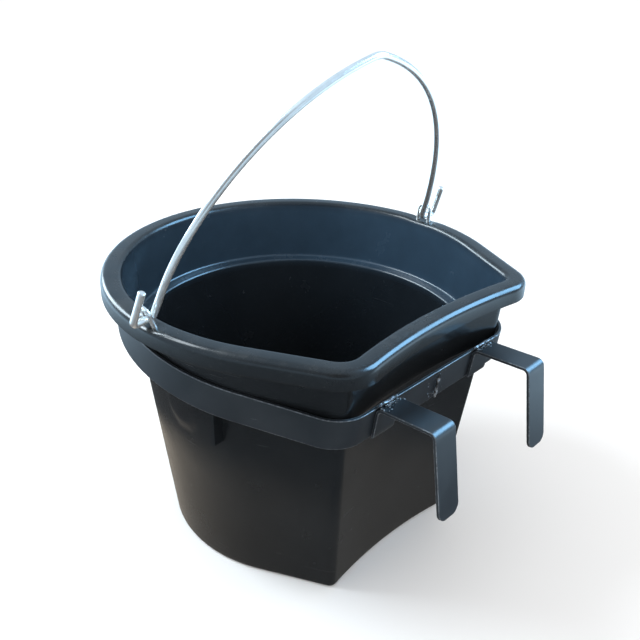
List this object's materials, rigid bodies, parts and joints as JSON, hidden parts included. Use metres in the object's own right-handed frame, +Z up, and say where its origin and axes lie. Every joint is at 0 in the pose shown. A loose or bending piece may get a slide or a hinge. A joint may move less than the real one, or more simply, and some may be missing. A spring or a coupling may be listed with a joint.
{
  "type": "feed bucket",
  "caption": "Flat-backed moulded feed bucket with a swinging wire bail, standing in a flat-bar carrier ring whose rear hooks hang it over a rail.",
  "frame": {"origin": "on the ground, under the centre of the rim's round front, in the bucket's plane of symmetry", "axes": "+Z up, +Y towards the round front, -Y towards the flat back and the carrier's hooks, +X to the left when facing the round front"},
  "size_m": [0.4214, 0.4384, 0.4895],
  "materials": {
    "moulded_plastic": "glossy black injection-moulded polypropylene with fine scuffs",
    "zinc_wire": "bright zinc-plated drawn steel wire",
    "painted_bar": "satin black paint on hot-rolled flat bar",
    "weld_metal": "rough weld bead, partly painted, with bright spatter"
  },
  "bodies": {
    "bucket": {"bucket_shell": "moulded_plastic", "eyelet_left": "zinc_wire", "eyelet_right": "zinc_wire"},
    "bail": {"bail_handle": "zinc_wire"},
    "carrier": {"carrier_band": "painted_bar", "hook_left": "painted_bar", "hook_right": "painted_bar", "hook_weld_left": "weld_metal", "hook_weld_right": "weld_metal", "band_seam_weld": "weld_metal"}
  },
  "joints": [
    {"name": "bail_swing", "type": "hinge", "parent": "bucket", "child": "bail", "pos_m": [0, -0.0025, 0.284], "axis": [1, 0, 0], "range_deg": [-109.4, 70.6]},
    {"name": "bucket_lift", "type": "slide", "parent": "carrier", "child": "bucket", "axis": [0, 0, 1], "range_m": [0, 0.27]}
  ]
}
